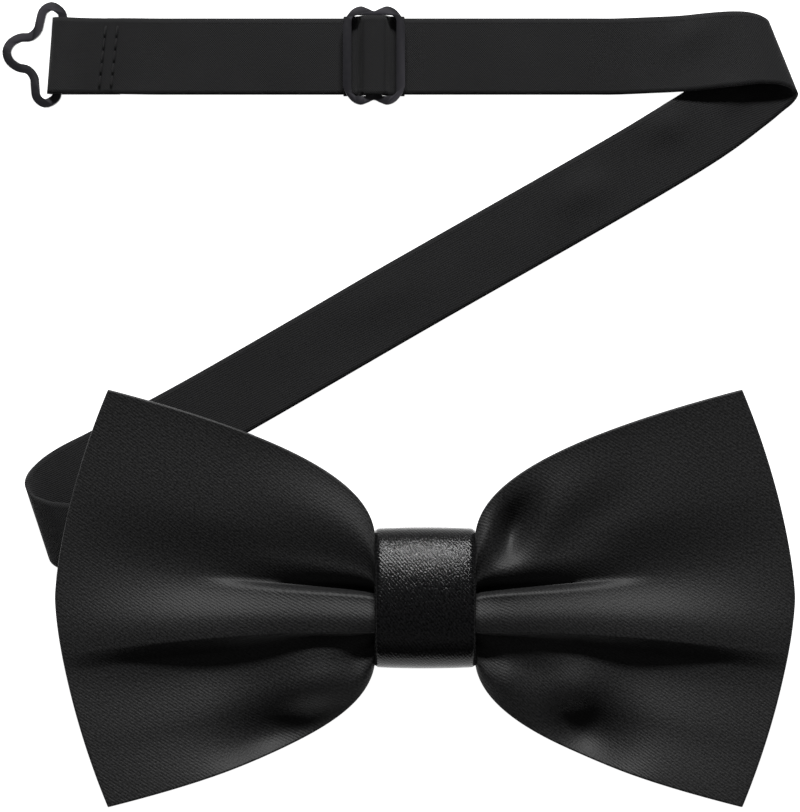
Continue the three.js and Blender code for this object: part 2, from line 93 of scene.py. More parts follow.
lamp("key_lamp", 88, 57, 0.9, 0.3, 0.1, 8.6)
lamp("front_lamp", -90, 24, 1.1, 0.5, 0.3, 0.15)

room = bpy.data.worlds.new("room")
room.use_nodes = True
room.node_tree.nodes["Background"].inputs["Color"].default_value = (1, 1, 1, 1)
room.node_tree.nodes["Background"].inputs["Strength"].default_value = 0.05
bpy.context.scene.world = room
bpy.context.scene.view_settings.view_transform = "Standard"
bpy.context.scene.view_settings.look = "None"


# ---------------------------------------------------------------------------
# Neck strap. One length of black plain-weave webbing, 13 mm wide, woven with a
# firm selvedge down each edge. It is sewn round the eye, runs across, folds back
# on itself twice, passes through the knot and is sewn round the hook.
# ---------------------------------------------------------------------------
class Shade:
    """A value inside a finish, which ordinary sums turn into its Math nodes."""

    def __init__(self, finish, socket):
        self.finish = finish
        self.socket = socket

    def sum(self, operation, first, second=None):
        values = {0: first} if second is None else {0: first, 1: second}
        return self.finish.node("ShaderNodeMath", {"operation": operation}, values)

    def __add__(self, other):
        return self.sum("ADD", self, other)

    def __sub__(self, other):
        return self.sum("SUBTRACT", self, other)

    def __rsub__(self, other):
        return self.sum("SUBTRACT", other, self)

    def __mul__(self, other):
        return self.sum("MULTIPLY", self, other)

    def wave(self):
        return self.sum("SINE", self)

    def size(self):
        return self.sum("ABSOLUTE", self)

    def at_least(self, other):
        return self.sum("MAXIMUM", self, other)

    def at_most(self, other):
        return self.sum("MINIMUM", self, other)

    def over(self, other):
        return self.sum("GREATER_THAN", self, other)

    __radd__ = __add__
    __rmul__ = __mul__


class Finish:
    """A material under one name, with its Principled shader and the nodes that feed it."""

    def __init__(self, name, **constants):
        self.material = bpy.data.materials.new(name)
        self.material.use_nodes = True
        self.tree = self.material.node_tree
        self.shader = self.tree.nodes["Principled BSDF"]
        for socket, value in constants.items():
            self.shader.inputs[socket.replace("_", " ")].default_value = value

    def node(self, kind, settings, inputs, output=0):
        made = self.tree.nodes.new(kind)
        for key, value in settings.items():
            setattr(made, key, value)
        for key, value in inputs.items():
            if isinstance(value, Shade):
                self.tree.links.new(value.socket, made.inputs[key])
            else:
                made.inputs[key].default_value = value
        return Shade(self, made.outputs[output])

    def place(self, kind="Object"):
        """The three coordinates of the surface point: Object in metres, or UV."""
        spot = self.node("ShaderNodeTexCoord", {}, {}, kind)
        parts = self.node("ShaderNodeSeparateXYZ", {}, {0: spot})
        outputs = parts.socket.node.outputs
        return spot, Shade(self, outputs[0]), Shade(self, outputs[1]), Shade(self, outputs[2])

    def noise(self, spot, scale, detail=2.0, roughness=0.5):
        values = {"Vector": spot, "Scale": scale, "Detail": detail, "Roughness": roughness}
        return self.node("ShaderNodeTexNoise", {}, values)

    def blend(self, share, first, second):
        values = {0: share, 6: first, 7: second}
        return self.node("ShaderNodeMix", {"data_type": "RGBA"}, values, 2)

    def feed(self, socket, value):
        self.tree.links.new(value.socket, self.shader.inputs[socket])

    def raise_by(self, height, distance, strength=1.0):
        values = {"Height": height, "Distance": distance, "Strength": strength}
        self.feed("Normal", self.node("ShaderNodeBump", {}, values))


def box_of(node):
    """A node's low and high corners in the tie's frame, in millimetres."""
    return [np.array(corner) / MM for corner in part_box(node)]


STRAP_WIDTH = 12.9
STRAP_CLOTH = 0.6
RUN_Y = 91.4
EYE_BAR_X = -61.6
HOOK_BAR_X = 37.0
BAR_LOOP = 1.523
BAR_HEIGHT = 1.873
TURN_UNDER = 10.5
TABLE_GAP = 0.05
DOUBLED = 0.9
STRAP_TUNNEL = 1.7
EYE_LEAN = 85.7


def round_bar(bar_x, y, angle, turn):
    """The route's rows half round a fitting's bar: down its outer side for turn 1, up it for turn -1."""
    stops = [math.radians(-90 + 30 * stop) for stop in range(7)]
    if turn > 0:
        stops.reverse()
    return [(bar_x + turn * math.cos(stop) * BAR_LOOP, y,
             BAR_HEIGHT + math.sin(stop) * BAR_LOOP - STRAP_CLOTH / 2, angle, 0) for stop in stops]


# Each row: x, y, height of the lower edge, direction of the width in plan and its tilt in degrees.
STRAP_ROUTE = [
    (EYE_BAR_X + TURN_UNDER, RUN_Y, TABLE_GAP, EYE_LEAN, 0),
    (EYE_BAR_X + TURN_UNDER / 2, RUN_Y, TABLE_GAP, EYE_LEAN, 0),
    *round_bar(EYE_BAR_X, RUN_Y, EYE_LEAN, -1),
    (EYE_BAR_X + 3, RUN_Y, DOUBLED + 0.8, EYE_LEAN, 0),
    (EYE_BAR_X + 5.2, RUN_Y, DOUBLED, EYE_LEAN, 0),
    (EYE_BAR_X + TURN_UNDER, RUN_Y, DOUBLED, EYE_LEAN, 0),
    (EYE_BAR_X + TURN_UNDER + 3, RUN_Y, DOUBLED / 2, EYE_LEAN + 2, 0),
    (EYE_BAR_X + TURN_UNDER + 6, RUN_Y, TABLE_GAP, 90, 0),
    (0, RUN_Y, TABLE_GAP, 90, 0),
    (28, RUN_Y, TABLE_GAP, 90, 0),
    (32, RUN_Y, TABLE_GAP, 90, 0),
    (38, 91.6, 0.1, 92, -3),
    (44.6, 91.9, 0.35, 96, -5),
    (50.5, 92.5, 0.85, 102, -6),
    (55.1, 92.8, 1.15, 107, -6),
    (58.1, 92.5, 1.3, 110, -5),
    (59.9, 91.7, 1.25, 111, -4),
    (60.5, 90.7, 0.95, 112, -3),
    (59.8, 89.5, 0.5, 113, -2),
    (58.1, 88.1, 0.2, 115, -1),
    (54.7, 85.4, 0.1, 118, 0),
    (46.3, 79.3, TABLE_GAP, 120, 0),
    (-4.3, 50, TABLE_GAP, 120, 0),
    (-38, 30.6, TABLE_GAP, 120, 0),
    (-53.5, 22.3, TABLE_GAP, 118, 1),
    (-59.8, 19, 0.1, 115, 4),
    (-63.6, 16.2, 0.15, 111, 9),
    (-65.3, 13.7, 0.4, 108, 15),
    (-64.7, 11.6, 0.6, 106, 19),
    (-62.5, 10.4, 0.75, 104, 20),
    (-58.3, 9.5, 1, 102, 13),
    (-49.8, 7.8, 1.15, 101, 6),
    (-29.6, 4, 1.35, 100, 2),
    (-10, 0.2, STRAP_TUNNEL, 91, 0),
    (0, 0, STRAP_TUNNEL, 90, 0),
    (10, 0, STRAP_TUNNEL, 90, 0),
    (HOOK_BAR_X - TURN_UNDER - 3, 0, DOUBLED + 0.2, 90, 0),
    (HOOK_BAR_X - TURN_UNDER, 0, DOUBLED, 90, 0),
    (HOOK_BAR_X - 5.2, 0, DOUBLED, 90, 0),
    (HOOK_BAR_X - 3, 0, DOUBLED + 0.8, 90, 0),
    *round_bar(HOOK_BAR_X, 0, 90, 1),
    (HOOK_BAR_X - TURN_UNDER / 2, 0, TABLE_GAP, 90, 0),
    (HOOK_BAR_X - TURN_UNDER, 0, TABLE_GAP, 90, 0),
]


def smooth_line(points, counts):
    """A centripetal curve through the points, in counts steps from each to the next.

    The first three columns are the place. Any further ones are eased from row to row.
    """
    points = np.array(points, float)
    padded = np.vstack([2 * points[0] - points[1], points, 2 * points[-1] - points[-2]])
    places = padded[:, :3]
    gaps = np.sqrt(np.linalg.norm(np.diff(places, axis=0), axis=1)).clip(1e-3)
    line = []
    for span in range(len(points) - 1):
        p = padded[span:span + 4]
        t = np.concatenate([[0], np.cumsum(gaps[span:span + 3])])
        for share in np.arange(counts[span]) / counts[span]:
            at = t[1] + (t[2] - t[1]) * share
            a = [p[i] * (t[i + 1] - at) / (t[i + 1] - t[i]) + p[i + 1] * (at - t[i]) / (t[i + 1] - t[i])
                 for i in range(3)]
            b = [a[i] * (t[i + 2] - at) / (t[i + 2] - t[i]) + a[i + 1] * (at - t[i]) / (t[i + 2] - t[i])
                 for i in range(2)]
            spot = b[0] * (t[2] - at) / (t[2] - t[1]) + b[1] * (at - t[1]) / (t[2] - t[1])
            ease = share * share * (3 - 2 * share)
            spot[3:] = p[1, 3:] * (1 - ease) + p[2, 3:] * ease
            line.append(spot)
    line.append(points[-1])
    return np.array(line)


def grid_sheet(name, rows, uvs, cloth, closed=False):
    """A sheet of cloth through rows of points in millimetres, thickened evenly, with its own UV in metres."""
    count, wide = rows.shape[:2]
    verts = (rows.reshape(-1, 3) * MM).tolist()
    last = count if closed else count - 1
    faces = []
    loops = []
    flat_uvs = uvs.reshape(-1, 2) * MM
    for row in range(last):
        after = (row + 1) % count
        for step in range(wide - 1):
            corners = (row * wide + step, row * wide + step + 1, after * wide + step + 1, after * wide + step)
            faces.append(corners)
            spots = flat_uvs[list(corners)].copy()
            if after < row:
                spots[2:, 0] += flat_uvs[wide, 0] * count
            loops.extend(spots)
    mesh = bpy.data.meshes.new(name)
    mesh.from_pydata(verts, [], faces)
    layer = mesh.uv_layers.new(name="weave")
    layer.data.foreach_set("uv", np.array(loops).ravel())
    mesh.polygons.foreach_set("use_smooth", [True] * len(mesh.polygons))
    sheet = bpy.data.objects.new(name, mesh)
    bpy.context.collection.objects.link(sheet)
    thicken = sheet.modifiers.new("thickness", "SOLIDIFY")
    thicken.thickness = cloth * MM
    thicken.offset = 0
    bpy.ops.object.select_all(action="DESELECT")
    sheet.select_set(True)
    bpy.context.view_layer.objects.active = sheet
    bpy.ops.object.modifier_apply(modifier=thicken.name)
    return sheet


def webbing_rows(line, width, across_steps):
    """Rows of points across a tape, turned and tilted as its route says, with their flat places."""
    places = line[:, :3]
    angle, tilt = np.radians(line[:, 3]), np.radians(line[:, 4])
    across = np.stack([np.cos(tilt) * np.cos(angle), np.cos(tilt) * np.sin(angle), np.sin(tilt)], 1)
    steps = np.linspace(0.5, -0.5, across_steps)
    rows = places[:, None, :] + across[:, None, :] * (steps[None, :, None] * width)
    along = np.concatenate([[0], np.cumsum(np.linalg.norm(np.diff(places, axis=0), axis=1))])
    uvs = np.stack(np.broadcast_arrays(along[:, None], steps[None, :] * width), 2)
    return rows, uvs


def swell(x, y, middle, reach, lean, height):
    """A soft lump or dent: its middle, its long and short reach, the lean of its long side, its height."""
    turn = math.radians(lean)
    along = (x - middle[0]) * math.cos(turn) + (y - middle[1]) * math.sin(turn)
    across = (y - middle[1]) * math.cos(turn) - (x - middle[0]) * math.sin(turn)
    return height * np.exp(-(along / reach[0]) ** 2 - (across / reach[1]) ** 2)


TAPE_ACROSS = 17
STITCH_PRESS = 0.22
PRESS_REACH = 0.55
TABLE_CLEAR = 0.02
# Low waves in the strap where it lies loose, as swell takes them, in millimetres.
STRAP_WAVES = [((41, 80), (4, 3), 30, 0.7), ((27, 68.5), (4.5, 3), 30, 0.6), ((52.5, 85), (3, 2.5), 30, 0.5),
               ((46, 95.5), (6, 3), 35, 0.5), ((-8, 50.5), (6, 3.5), 30, 0.4)]
route = np.array(STRAP_ROUTE, float)
route[:, 2] += STRAP_CLOTH / 2 + STRAP_WIDTH / 2 * np.abs(np.sin(np.radians(route[:, 4])))
spans = np.linalg.norm(np.diff(route[:, :3], axis=0), axis=1)
strap_line = smooth_line(route, [int(max(6, min(3 * span, 20), span)) for span in spans])
strap_rows, strap_uvs = webbing_rows(strap_line, STRAP_WIDTH, TAPE_ACROSS)
for wave in STRAP_WAVES:
    strap_rows[..., 2] += swell(strap_rows[..., 0], strap_rows[..., 1], *wave)
for row in (1, 2):
    low, high = box_of(f"eye_stitch_row_{row}")
    sewn_x = (low[0] + high[0]) / 2 + math.tan(math.radians(90 - EYE_LEAN)) * (strap_rows[..., 1] - RUN_Y)
    pressed = np.exp(-((strap_rows[..., 0] - sewn_x) / PRESS_REACH) ** 2)
    upper_layer = (strap_rows[..., 2] > DOUBLED) & (strap_rows[..., 1] > RUN_Y - STRAP_WIDTH)
    strap_rows[..., 2] -= STITCH_PRESS * pressed * upper_layer
strap_rows[..., 2] = np.maximum(strap_rows[..., 2], STRAP_CLOTH / 2 + TABLE_CLEAR)
neck_strap = grid_sheet("webbing_neck_strap", strap_rows, strap_uvs, STRAP_CLOTH)

RIB_PITCH = 0.42 * MM
PICK_PITCH = 0.36 * MM
SELVEDGE = 0.9 * MM

webbing = Finish("black_webbing", Specular_IOR_Level=0.2, Sheen_Weight=0.05, Sheen_Roughness=0.45)
spot, along, across, _ = webbing.place("UV")
rib = (across * (2 * math.pi / RIB_PITCH)).wave()
pick = (along * (2 * math.pi / PICK_PITCH)).wave()
weave = rib * pick * 0.5 + 0.5
edge = (across.size() - (STRAP_WIDTH / 2 * MM - SELVEDGE)).over(0)
fuzz = webbing.noise(spot, 2600, 3)
tone = webbing.noise(spot, 90, 3)
webbing.raise_by(weave + edge * 0.8 + fuzz * 0.5, 0.09 * MM, 0.9)
dark, light = (0.0105, 0.0105, 0.0112, 1), (0.024, 0.024, 0.0248, 1)
webbing.feed("Base Color", webbing.blend((weave * 0.45 + tone * 0.55).at_most(1.0), dark, light))
webbing.feed("Roughness", 0.66 + 0.2 * fuzz)
neck_strap.data.materials.append(webbing.material)
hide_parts("neck_strap")
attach(neck_strap, "bow_and_strap")

# ---------------------------------------------------------------------------
# The webbing where it climbs over the slide's middle bar. On the tie it is the
# same tape as the strap; here it is its own short piece, so that it travels
# with the slide, and its ends lie down on the strap under the slide's end bars.
# ---------------------------------------------------------------------------
slide_low, slide_high = box_of("strap_slide")
slide_x = (slide_low[0] + slide_high[0]) / 2
slide_half = (slide_high[0] - slide_low[0]) / 2
SLIDE_WIRE = 1.45
BEND_CLOTH = 0.5
BEND_WIDTH = 13.5
BEND_STEPS = 6
LYING_GAP = 0.06
BAR_GAP = 0.12
lying = TABLE_GAP + STRAP_CLOTH + LYING_GAP
over_bar = slide_high[2] + BAR_GAP + BEND_CLOTH / 2
window_middle = (slide_half - SLIDE_WIRE / 2) / 2
# From the slide's left end up to its middle bar: distance from the bar and height of the cloth.
climb = [
    (-slide_half + 0.1, lying - 0.1), (-slide_half + SLIDE_WIRE, lying + 0.1),
    (-window_middle - 0.35, lying + 0.45), (-window_middle + 0.15, (lying + over_bar) / 2),
    (-window_middle + 0.7, over_bar - 0.35), (-SLIDE_WIRE / 2 + 0.1, over_bar - 0.02),
]
bend_route = climb + [(0, over_bar)] + [(-x, z) for x, z in reversed(climb)]
bend_points = [(slide_x + x, RUN_Y, z, 90, 0) for x, z in bend_route]
bend_line = smooth_line(bend_points, [BEND_STEPS] * (len(bend_points) - 1))
bend_rows, bend_uvs = webbing_rows(bend_line, BEND_WIDTH, TAPE_ACROSS)
strap_bend = grid_sheet("webbing_over_slide_bar", bend_rows, bend_uvs, BEND_CLOTH)
strap_bend.data.materials.append(webbing.material)
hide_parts("strap_bend")
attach(strap_bend, "slide")


# ---------------------------------------------------------------------------
# Stitching. Black polyester thread, machine sewn: two rows across each sewn
# loop, a tack at each side of the knot, and the seam that closes the knot.
# Each stitch is a plump two-ply length of thread pulled down at both ends.
# ---------------------------------------------------------------------------
THREAD = 0.4
STITCH = 2.0
STITCH_GAP = 0.35
STITCH_RINGS = 9
STITCH_SIDES = 10
PLY_PITCH = 0.3 * MM

thread_finish = Finish("black_thread", Roughness=0.65, Sheen_Weight=0.05, Specular_IOR_Level=0.3)
spot, x, y, z = thread_finish.place()
ply = ((x + y * 1.4 + z) * (2 * math.pi / PLY_PITCH)).wave()
thread_finish.raise_by(ply, 0.04 * MM)
dark, light = (0.006, 0.006, 0.0065, 1), (0.02, 0.02, 0.021, 1)
thread_finish.feed("Base Color", thread_finish.blend(ply * 0.5 + 0.5, dark, light))


def stitch_row(name, node, along, sink):
    """Single stitches end to end through a thread node's box, along the axes given, sunk at their ends."""
    low, high = box_of(node)
    start, end = low.copy(), high.copy()
    middle = (low + high) / 2
    for axis in range(3):
        if axis not in along:
            start[axis] = end[axis] = middle[axis]
    length = np.linalg.norm(end - start)
    count = round(length / STITCH)
    direction = Vector(end - start).normalized()
    side = direction.cross(Vector((0, 0, 1))).normalized()
    up = side.cross(direction)
    verts, faces = [], []
    for index in range(count):
        first = Vector(start) + direction * (length * index / count + STITCH_GAP / 2)
        span = length / count - STITCH_GAP
        base = len(verts)
        for ring in range(STITCH_RINGS):
            share = ring / (STITCH_RINGS - 1)
            plump = THREAD / 2 * max(0.25, math.sin(math.pi * (0.1 + 0.8 * share)) ** 0.5)
            sag = sink * (1 - math.sin(math.pi * share) ** 0.6)
            centre = first + direction * (span * share) - up * sag
            for step in range(STITCH_SIDES):
                turn = 2 * math.pi * step / STITCH_SIDES
                verts.append(centre + (side * math.cos(turn) + up * math.sin(turn)) * plump)
        for ring in range(STITCH_RINGS - 1):
            here = base + ring * STITCH_SIDES
            for step in range(STITCH_SIDES):
                a, b = here + step, here + (step + 1) % STITCH_SIDES
                faces.append((a, a + STITCH_SIDES, b + STITCH_SIDES, b))
        last_ring = base + (STITCH_RINGS - 1) * STITCH_SIDES
        faces.append([base + step for step in range(STITCH_SIDES)])
        faces.append([last_ring + step for step in reversed(range(STITCH_SIDES))])
    mesh = bpy.data.meshes.new(name)
    mesh.from_pydata([vert * MM for vert in verts], [], faces)
    mesh.polygons.foreach_set("use_smooth", [True] * len(mesh.polygons))
    row = bpy.data.objects.new(name, mesh)
    bpy.context.collection.objects.link(row)
    row.data.materials.append(thread_finish.material)
    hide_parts(node)
    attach(row, "bow_and_strap")


for number in (1, 2):
    stitch_row(f"eye_stitches_{number}", f"eye_stitch_row_{number}", (0, 1), 0.28)
    stitch_row(f"hook_stitches_{number}", f"hook_stitch_row_{number}", (0, 1), 0.28)
for side in ("left", "right"):
    stitch_row(f"strap_tack_stitches_{side}", f"strap_tack_{side}", (0, 1), 0.1)
stitch_row("knot_closing_stitches", "knot_seam_stitches", (0,), 0.0)


# ---------------------------------------------------------------------------
# Eye, slide and hook. Flat fittings stamped from sheet metal, their edges
# tumbled round, and coated in thin black paint with a satin gloss. A painted
# highlight makes the colour a little lighter along the edges.
# ---------------------------------------------------------------------------
ROUNDING = 0.26

paint = Finish("black_painted_metal", Specular_IOR_Level=0.5, Coat_Weight=0.15, Coat_Roughness=0.3)
spot, x, y, z = paint.place()
orange_peel = paint.noise(spot, 1400, 2)
specks = paint.noise(spot, 3800, 2, 0.7)
# Painted highlight: the colour is lighter along the sharp edges, where the rounded edges catch the light.
highlight_pointiness = paint.node("ShaderNodeNewGeometry", {}, {}, "Pointiness")
painted_edge_highlight = ((highlight_pointiness - 0.53) * 9.0).at_least(0.0).at_most(1.0)
paint.feed("Base Color", paint.blend(painted_edge_highlight * 0.8, (0.0125, 0.012, 0.0155, 1), (0.05, 0.047, 0.056, 1)))
paint.feed("Roughness", 0.3 + 0.22 * orange_peel)
paint.raise_by(orange_peel + specks * 0.5, 0.035 * MM, 0.6)


def finished_fitting(name, node, body):
    """The stamped shape with its loose faces joined up and its edges rounded over."""
    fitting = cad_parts[node].copy()
    fitting.data = fitting.data.copy()
    fitting.name = name
    for key in list(fitting.keys()):
        del fitting[key]
    bpy.context.collection.objects.link(fitting)
    bpy.ops.object.select_all(action="DESELECT")
    fitting.select_set(True)
    bpy.context.view_layer.objects.active = fitting
    bpy.ops.object.mode_set(mode="EDIT")
    bpy.ops.mesh.select_all(action="SELECT")
    bpy.ops.mesh.remove_doubles(threshold=0.002 * MM)
    bpy.ops.mesh.dissolve_limited(angle_limit=math.radians(1))
    bpy.ops.object.mode_set(mode="OBJECT")
    rounding = fitting.modifiers.new("rounding", "BEVEL")
    rounding.width = ROUNDING * MM
    rounding.segments = 4
    rounding.limit_method = "ANGLE"
    rounding.angle_limit = math.radians(50)
    bpy.ops.object.modifier_apply(modifier=rounding.name)
    bpy.ops.object.shade_smooth_by_angle(angle=math.radians(40))
    fitting.data.materials.clear()
    fitting.data.materials.append(paint.material)
    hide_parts(node)
    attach(fitting, body)


finished_fitting("black_eye", "eye", "eye")
finished_fitting("black_slide", "strap_slide", "slide")
finished_fitting("black_hook", "hook", "hook")


# ---------------------------------------------------------------------------
# Bow. Two satin panels are sewn face to face round their edge over a woven
# interlining, turned right side out and pressed, then pleated at the waist
# into three lobes with two sharp folds between them and tied with a cord.
# ---------------------------------------------------------------------------
bow_low, bow_high = box_of("bow_interlining")
knot_low, knot_high = box_of("knot_band")
BOW_HALF = (bow_high[0] - bow_low[0]) / 2
BOW_TALL = (bow_high[1] - bow_low[1]) / 2
END_BULGE = 9.0
WAIST_HALF = 9.35
WAIST_END = (knot_high[0] - knot_low[0]) / 2 + 0.25
BUNDLE_MIDDLE = 8.03
PLEAT_DEPTH = 3.77
WING_EDGE_HEIGHT = 7.0
WING_CUP = 2.2
WAIST_FLARE = 0.45
SATIN = 0.3
CANVAS = 0.3
PANEL_APART = 0.72
EDGE_APART = 0.12
EDGE_ROLL = 0.08
# How far the lower fold runs below the middle, in millimetres: at the knot, and what it gains outwards.
LOWER_FOLD = 5.5
LOWER_FOLD_LEAN = 0.3
LOWER_FOLD_CURVE = 4.2
# How far the upper fold runs above the middle, as a share of the wing's half height there.
UPPER_FOLD = 0.085
UPPER_FOLD_RISE = 0.14


def smooth(low, high, value):
    """0 below low, 1 above high, and an easy rise between them."""
    share = np.clip((value - low) / (high - low), 0, 1)
    return share * share * (3 - 2 * share)


def half_height(distance):
    """Half the bow's height at a distance from its middle: it flares quickly out of the knot."""
    flare = np.maximum(0, (distance - WAIST_END) / (BOW_HALF - END_BULGE - WAIST_END))
    return WAIST_HALF + (BOW_TALL - WAIST_HALF) * flare ** WAIST_FLARE


# Each wing's own lumps and dents, as swell takes them, in millimetres.
LEFT_DENTS = [((-18.5, -14), (7, 4.5), 30, 2.1), ((-24, -24.5), (10, 6.5), 20, -5.6),
              ((-42, -5), (16, 4.5), 3, 1.0), ((-20, 6), (12, 4), -10, -0.5)]
RIGHT_DENTS = [((25.5, -15), (5, 4.5), 0, 1.8), ((26.5, -25.5), (7.5, 8), 0, -5.8),
               ((13, -13), (4, 3), -30, 0.8), ((14.5, 11.5), (6, 3.2), 58, -4.2), ((11.5, 5), (4, 4), 0, 1.6),
               ((27, 13), (8, 4), 40, -0.9), ((43, -5), (16, 4.5), -3, 0.9)]


def between(share, low, high, start, end, shape):
    """A stretch of the pleats' outline: into a fold, out of a fold, or easy from crest to crest."""
    part = np.clip((share - low) / (high - low), 0, 1)
    curves = {"in": 1 - np.cos(part * math.pi / 2), "out": np.sin(part * math.pi / 2),
              "easy": part * part * (3 - 2 * part)}
    return start + (end - start) * curves[shape]


# The outline across the pleats, close to the knot and out on the wing, from the lower edge to the
# upper one: where each stretch ends, from 0 to 3, its height there, and how it gets there.
NEAR_PLEATS = [(0.0, -0.2, "easy"), (0.3, 0.05, "out"), (0.6, -0.05, "easy"), (0.94, 0.25, "easy"),
               (1.0, 0.8, "in"), (1.3, 0.9, "out"), (1.85, 0.65, "easy"), (2.0, -0.5, "in"),
               (2.2, 0.45, "out"), (2.6, 0.75, "easy"), (3.0, 0.45, "easy")]
FAR_PLEATS = [(0.0, 0.2, "easy"), (0.4, -0.2, "easy"), (0.76, -0.6, "easy"), (0.88, -0.45, "in"),
              (1.02, 0.75, "easy"), (1.3, 0.75, "easy"), (2.0, 0.1, "easy"), (2.4, 0.85, "easy"),
              (3.0, 0.45, "easy")]


def pleat_height(share, pleats):
    """The height of such an outline at each share, as a part of the pleats' depth."""
    low, start, _ = pleats[0]
    height = np.full(share.shape, start)
    for high, end, shape in pleats[1:]:
        inside = (share >= low) & (share <= high)
        height = np.where(inside, between(share, low, high, start, end, shape), height)
        low, start = high, end
    return height


def wing_points(side, reach, level_share):
    """The middle sheet of one wing, with its level, -1 to 1 from edge to edge, and the way left to its end.

    reach runs 0 to 1 from the knot outwards, level_share 0 to 3 through the lower, middle and upper lobes.
    """
    along_middle = WAIST_END + (BOW_HALF - WAIST_END) * reach
    fold_drop = LOWER_FOLD + LOWER_FOLD_LEAN * reach + LOWER_FOLD_CURVE * reach ** 2
    lower_fold = -fold_drop / half_height(along_middle)
    upper_fold = UPPER_FOLD + UPPER_FOLD_RISE * reach ** 2
    level = np.where(level_share < 1, -1 + (lower_fold + 1) * level_share,
                     np.where(level_share < 2, lower_fold + (upper_fold - lower_fold) * (level_share - 1),
                              upper_fold + (1 - upper_fold) * (level_share - 2)))
    end = BOW_HALF - END_BULGE * np.abs(level) ** 1.5
    distance = WAIST_END + (end - WAIST_END) * reach
    depth = PLEAT_DEPTH * (1 - reach) ** 0.75 + 0.1
    middle = BUNDLE_MIDDLE + (WING_EDGE_HEIGHT - BUNDLE_MIDDLE) * reach ** 2
    out = smooth(0.15, 0.6, reach)
    near, far = pleat_height(level_share, NEAR_PLEATS), pleat_height(level_share, FAR_PLEATS)
    height = middle + depth * (near + (far - near) * out) + WING_CUP * level ** 2 * out
    x, y = side * distance, level * half_height(distance)
    calm = smooth(0, 0.12, reach) * smooth(-0.3, 0.25, 1 - np.abs(level))
    for dent in LEFT_DENTS if side < 0 else RIGHT_DENTS:
        height = height + swell(x, y, *dent) * calm
    return x, y, height, level, end - distance


# The mesh: points across a wing, columns out to each end, extra points at the lower fold and extra
# columns close to the ends, and the size that an inset is measured against along a wing and a lobe.
ACROSS = 121
COLUMNS = 100
FOLD_STEPS = 15
HEM_STEPS = [0.04, 0.1, 0.3]
WING_LENGTH = 60
LOBE_WIDTH = 30
CANVAS_INSET = 1.6


def bow_panel(name, face, cloth, inset=0.0):
    """One sheet of the bow. face is 1 for the front, -1 for the back and 0 for the interlining."""
    steps = np.linspace(-COLUMNS, COLUMNS, 2 * COLUMNS + 1)
    hem = COLUMNS - np.array(HEM_STEPS)
    steps = np.sort(np.concatenate([steps, hem, -hem]))
    reach = np.abs(steps / COLUMNS) ** 1.5 * (1 - inset / WING_LENGTH)
    shares = 3 * (0.5 - 0.5 * np.cos(np.linspace(0, math.pi, ACROSS)))
    shares = np.unique(np.concatenate([shares, np.linspace(0.9, 1.06, FOLD_STEPS)]))
    shares = inset / LOBE_WIDTH + shares * (1 - inset / (1.5 * LOBE_WIDTH))
    rows, uvs = [], []
    for step, out in zip(steps, reach):
        for side in (-1, 1) if step == 0 else (math.copysign(1, step),):
            x, y, z, level, from_end = wing_points(side, np.full(shares.shape, out), shares)
            from_side = (1 - np.abs(level)) * half_height(np.abs(x))
            from_edge = np.minimum(from_side, from_end)
            roll = np.sqrt(1 - (1 - np.clip(from_edge / EDGE_ROLL, 0, 1)) ** 2)
            z = z + face * (EDGE_APART + (PANEL_APART - EDGE_APART) * roll)
            rows.append(np.stack([x, y, z], 1))
            girth = np.concatenate([[0], np.cumsum(np.hypot(np.diff(y), np.diff(z)))])
            uvs.append(np.stack([x, girth - girth[-1] / 2], 1))
    rows, uvs = np.array(rows)[:, ::-1], np.array(uvs)[:, ::-1]
    return grid_sheet(name, rows, uvs, cloth)


TWILL_PITCH = 0.46 * MM


def satin_finish(name, lean, base, bright, gloss, rough, spread):
    """Black satin: close twill lines at a lean in degrees, a fine grain, and a soft sheen."""
    finish = Finish(name, Specular_IOR_Level=gloss, Sheen_Weight=0.02, Sheen_Roughness=0.4)
    spot, along, across, _ = finish.place("UV")
    turn = math.radians(lean)
    line = (along * (math.sin(turn) * 2 * math.pi / TWILL_PITCH)
            + across * (math.cos(turn) * 2 * math.pi / TWILL_PITCH)).wave()
    grain = finish.noise(spot, 2400, 3, 0.6)
    cloud = finish.noise(spot, 60, 2)
    share = (line * 0.2 + (grain - 0.5) * 3.8 + cloud * 0.3 + 0.35).at_least(0.0).at_most(1.0)
    finish.feed("Base Color", finish.blend(share, base, bright))
    finish.feed("Roughness", rough + spread * grain)
    finish.raise_by(line * 0.3 + grain * 2.6, 0.03 * MM, 1.0)
    return finish


bow_satin = satin_finish("black_bow_satin", lean=34, base=(0.004, 0.004, 0.0043, 1),
                         bright=(0.02, 0.02, 0.0205, 1), gloss=0.4, rough=0.48, spread=0.2)
front_panel = bow_panel("satin_front_panel", 1, SATIN)
back_panel = bow_panel("satin_back_panel", -1, SATIN)
interlining = bow_panel("woven_interlining", 0, CANVAS, inset=CANVAS_INSET)
for panel, node in ((front_panel, "bow_front_panel"), (back_panel, "bow_back_panel")):
    panel.data.materials.append(bow_satin.material)
    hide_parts(node)
    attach(panel, "bow_and_strap")

canvas = Finish("woven_interlining", Roughness=0.9, Sheen_Weight=0.2)
spot, along, across, _ = canvas.place("UV")
canvas_pitch = 0.6 * MM
canvas_weave = (along * (2 * math.pi / canvas_pitch)).wave() * (across * (2 * math.pi / canvas_pitch)).wave()
dark, light = (0.03, 0.03, 0.031, 1), (0.06, 0.06, 0.062, 1)
canvas.feed("Base Color", canvas.blend(canvas_weave * 0.5 + 0.5, dark, light))
canvas.raise_by(canvas_weave, 0.1 * MM)
interlining.data.materials.append(canvas.material)
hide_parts("bow_interlining")
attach(interlining, "bow_and_strap")


